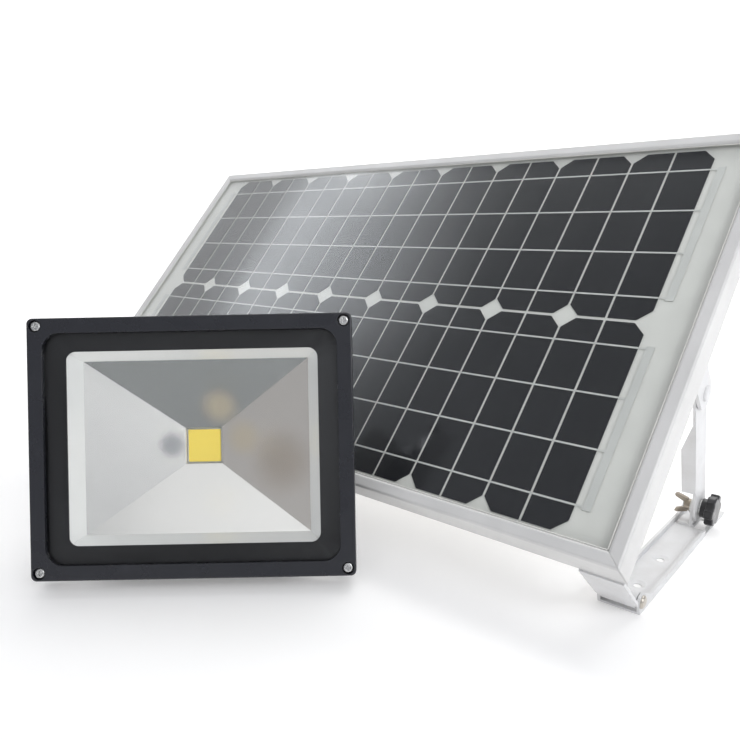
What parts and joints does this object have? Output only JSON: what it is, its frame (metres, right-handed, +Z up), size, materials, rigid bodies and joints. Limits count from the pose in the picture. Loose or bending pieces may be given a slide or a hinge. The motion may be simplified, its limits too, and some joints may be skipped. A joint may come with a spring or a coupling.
{
  "type": "solar flood light",
  "caption": "Solar flood light kit: a flat LED flood light head tilting on a yoke, and a framed solar panel hinged on folding steel brackets with star-knob struts.",
  "frame": {"origin": "on the floor, at the centre of the rectangle of four fixing holes in the two base channels", "axes": "+X along the width of the panel to its right side seen from the front, +Y backwards from the hinge pins to the rear ends of the channels, +Z up"},
  "size_m": [0.6288, 0.4437, 0.3005],
  "materials": {
    "zinc_steel": "white powder coat, satin",
    "pin_steel": "zinc plated, polished head",
    "frame_aluminium": "clear anodised, fine brushed",
    "cell_silicon": "dark blue-black silicon",
    "ribbon": "tinned copper, matt",
    "solar_glass": "low-iron textured glass",
    "backsheet": "white film",
    "black_plastic": "fine-grained moulded",
    "knob_plastic": "semi-gloss black moulding",
    "bright_steel": "bright zinc plate",
    "nickel_nut": "cast, nickel plated",
    "black_paint": "gloss black powder coat",
    "lamp_glass": "clear toughened glass",
    "mask_print": "dark ceramic print",
    "seal_rubber": "silicone rubber",
    "reflector_metal": "matt anodised",
    "led_phosphor": "yellow phosphor gel",
    "board_alu": "satin",
    "pad_grey": "soft silicone pad",
    "battery_sleeve": "blue shrink sleeve",
    "nickel_strip": "nickel strip",
    "circuit_green": "solder mask",
    "switch_rubber": "matt rubber cap"
  },
  "bodies": {
    "stand": {"base_channel_right": "zinc_steel", "base_channel_left": "zinc_steel", "strut_lug_right": "zinc_steel", "strut_lug_left": "zinc_steel", "hinge_pins": "pin_steel"},
    "panel": {"frame_rail_top": "frame_aluminium", "frame_rail_bottom": "frame_aluminium", "frame_rail_left": "frame_aluminium", "frame_rail_right": "frame_aluminium", "corner_keys": "frame_aluminium", "panel_glass": "solar_glass", "solar_cells": "cell_silicon", "cell_ribbons": "ribbon", "end_ribbons": "ribbon", "backsheet": "backsheet", "junction_box": "black_plastic", "junction_box_lid": "black_plastic", "junction_box_gland": "black_plastic", "bypass_diodes": "black_plastic", "top_bracket_right": "zinc_steel", "top_bracket_left": "zinc_steel", "bracket_screws": "bright_steel", "bracket_nuts": "bright_steel", "strut_pivot_pins": "zinc_steel"},
    "strut_right": {"strut_right": "zinc_steel"},
    "strut_left": {"strut_left": "zinc_steel"},
    "knob_right": {"knob_right": "knob_plastic", "knob_stud_right": "bright_steel", "knob_washer_right": "bright_steel"},
    "knob_left": {"knob_left": "knob_plastic", "knob_stud_left": "bright_steel", "knob_washer_left": "bright_steel"},
    "wing_nut_right": {"wing_nut_right": "nickel_nut", "wing_nut_washer_right": "bright_steel"},
    "wing_nut_left": {"wing_nut_left": "nickel_nut", "wing_nut_washer_left": "bright_steel"},
    "yoke": {"yoke_bracket": "black_paint"},
    "lamp_head": {"front_bezel": "black_paint", "front_glass": "lamp_glass", "glass_mask": "mask_print", "glass_gasket": "seal_rubber", "reflector": "reflector_metal", "led_chip": "led_phosphor", "led_board": "board_alu", "led_board_screws": "bright_steel", "thermal_pad": "pad_grey", "lamp_housing": "black_paint", "rear_cover": "black_paint", "rear_gasket": "seal_rubber", "rear_cover_screws": "bright_steel", "battery_cells": "battery_sleeve", "battery_straps": "nickel_strip", "controller_board": "circuit_green", "switch_collar": "bright_steel", "switch_block": "black_plastic", "cable_gland": "black_plastic", "bezel_screws": "bright_steel", "yoke_bolts": "bright_steel", "yoke_washers": "bright_steel"},
    "button": {"switch_button": "switch_rubber"}
  },
  "joints": [
    {"name": "panel_tilt", "type": "hinge", "parent": "stand", "child": "panel", "pos_m": [0, -0.055, 0.009], "axis": [1, 0, 0], "range_deg": [-35, 0]},
    {"name": "strut_fold_right", "type": "hinge", "parent": "panel", "child": "strut_right", "pos_m": [0.301, 0.058, 0.122], "axis": [1, 0, 0], "range_deg": [0, 103.92]},
    {"name": "strut_fold_left", "type": "hinge", "parent": "panel", "child": "strut_left", "pos_m": [-0.301, 0.058, 0.122], "axis": [1, 0, 0], "range_deg": [0, 103.92]},
    {"name": "knob_turn_right", "type": "hinge", "parent": "strut_right", "child": "knob_right", "pos_m": [0.309, 0.1, 0.017], "axis": [1, 0, 0], "continuous": true},
    {"name": "wing_nut_turn_right", "type": "hinge", "parent": "strut_right", "child": "wing_nut_right", "pos_m": [0.292, 0.1, 0.017], "axis": [1, 0, 0], "continuous": true},
    {"name": "knob_turn_left", "type": "hinge", "parent": "strut_left", "child": "knob_left", "pos_m": [-0.309, 0.1, 0.017], "axis": [-1, 0, 0], "continuous": true},
    {"name": "wing_nut_turn_left", "type": "hinge", "parent": "strut_left", "child": "wing_nut_left", "pos_m": [-0.292, 0.1, 0.017], "axis": [-1, 0, 0], "continuous": true},
    {"name": "lamp_lift", "type": "slide", "parent": "stand", "child": "yoke", "axis": [0, 0, 1], "range_m": [0, 0.25]},
    {"name": "head_tilt", "type": "hinge", "parent": "yoke", "child": "lamp_head", "pos_m": [0.02821, -0.18106, 0.08471], "axis": [-0.7513, -0.66, 0], "range_deg": [-8, 34]},
    {"name": "switch_press", "type": "slide", "parent": "lamp_head", "child": "button", "axis": [0.6291, -0.7161, 0.3024], "range_m": [0, 0.0015], "stiffness_N_per_m": 2000}
  ],
  "couplings": [
    {"joint": "strut_fold_right", "follows": "panel_tilt", "ratio": -2.955},
    {"joint": "strut_fold_left", "follows": "panel_tilt", "ratio": -2.955}
  ]
}
